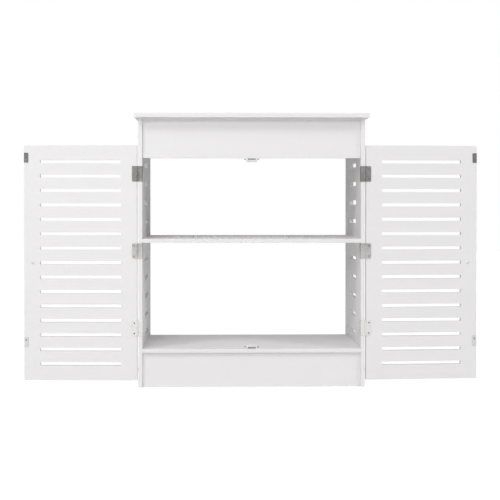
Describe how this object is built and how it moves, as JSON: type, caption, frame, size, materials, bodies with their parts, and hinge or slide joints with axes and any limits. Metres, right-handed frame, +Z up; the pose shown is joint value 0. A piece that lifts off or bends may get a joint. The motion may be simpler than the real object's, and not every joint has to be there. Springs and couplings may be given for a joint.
{
  "type": "slatted door cabinet",
  "caption": "Floor-standing white cabinet with slatted doors on wrap-around hinges, ventilated sides and shelf, overhanging top, plinth and open back.",
  "frame": {"origin": "centre of the cabinet's footprint, on the floor", "axes": "+X to the right across the front, +Y from the front to the open back, +Z up"},
  "size_m": [1.4052, 0.3605, 0.846],
  "materials": {
    "painted_board": "white satin paint on fibreboard",
    "hinge_steel": "bright nickel-plated sheet steel",
    "strike_steel": "plain plated steel sheet",
    "screw_steel": "zinc-plated screw",
    "bracket_steel": "zinc-plated sheet steel",
    "knob_metal": "satin nickel",
    "catch_plastic": "off-white moulded plastic",
    "cap_plastic": "white moulded plastic",
    "magnet_ferrite": "dull dark ferrite",
    "dowel_wood": "plain beech"
  },
  "bodies": {
    "cabinet": {"base_panel": "painted_board", "carcass_dowels": "dowel_wood", "carcass_screws": "screw_steel", "front_apron": "painted_board", "left_hinge_cabinet_screws": "screw_steel", "left_lower_hinge_cabinet_leaf": "hinge_steel", "left_lower_hinge_pin": "hinge_steel", "left_middle_hinge_cabinet_leaf": "hinge_steel", "left_middle_hinge_pin": "hinge_steel", "left_side_panel": "painted_board", "left_upper_hinge_cabinet_leaf": "hinge_steel", "left_upper_hinge_pin": "hinge_steel", "lower_catch_housing": "catch_plastic", "lower_catch_magnets": "magnet_ferrite", "lower_catch_pole_plates": "strike_steel", "lower_catch_screws": "screw_steel", "plinth": "painted_board", "rear_top_rail": "painted_board", "right_hinge_cabinet_screws": "screw_steel", "right_lower_hinge_cabinet_leaf": "hinge_steel", "right_lower_hinge_pin": "hinge_steel", "right_middle_hinge_cabinet_leaf": "hinge_steel", "right_middle_hinge_pin": "hinge_steel", "right_side_panel": "painted_board", "right_upper_hinge_cabinet_leaf": "hinge_steel", "right_upper_hinge_pin": "hinge_steel", "screw_caps": "cap_plastic", "shelf": "painted_board", "top_bracket_screws": "screw_steel", "top_brackets": "bracket_steel", "top_panel": "painted_board", "upper_catch_housing": "catch_plastic", "upper_catch_magnets": "magnet_ferrite", "upper_catch_pole_plates": "strike_steel", "upper_catch_screws": "screw_steel"},
    "left_door": {"left_door": "painted_board", "left_hinge_door_screws": "screw_steel", "left_knob": "knob_metal", "left_knob_screw": "screw_steel", "left_lower_hinge_door_leaf": "hinge_steel", "left_lower_strike_plate": "strike_steel", "left_middle_hinge_door_leaf": "hinge_steel", "left_strike_screws": "screw_steel", "left_upper_hinge_door_leaf": "hinge_steel", "left_upper_strike_plate": "strike_steel"},
    "right_door": {"right_door": "painted_board", "right_hinge_door_screws": "screw_steel", "right_knob": "knob_metal", "right_knob_screw": "screw_steel", "right_lower_hinge_door_leaf": "hinge_steel", "right_lower_strike_plate": "strike_steel", "right_middle_hinge_door_leaf": "hinge_steel", "right_strike_screws": "screw_steel", "right_upper_hinge_door_leaf": "hinge_steel", "right_upper_strike_plate": "strike_steel"}
  },
  "joints": [
    {"name": "left_door_hinge", "type": "hinge", "parent": "cabinet", "child": "left_door", "pos_m": [-0.352, -0.1615, 0.3855], "axis": [0, 0, 1], "range_deg": [-4, 181.5]},
    {"name": "right_door_hinge", "type": "hinge", "parent": "cabinet", "child": "right_door", "pos_m": [0.352, -0.1615, 0.3855], "axis": [0, 0, -1], "range_deg": [-2.5, 183]}
  ]
}
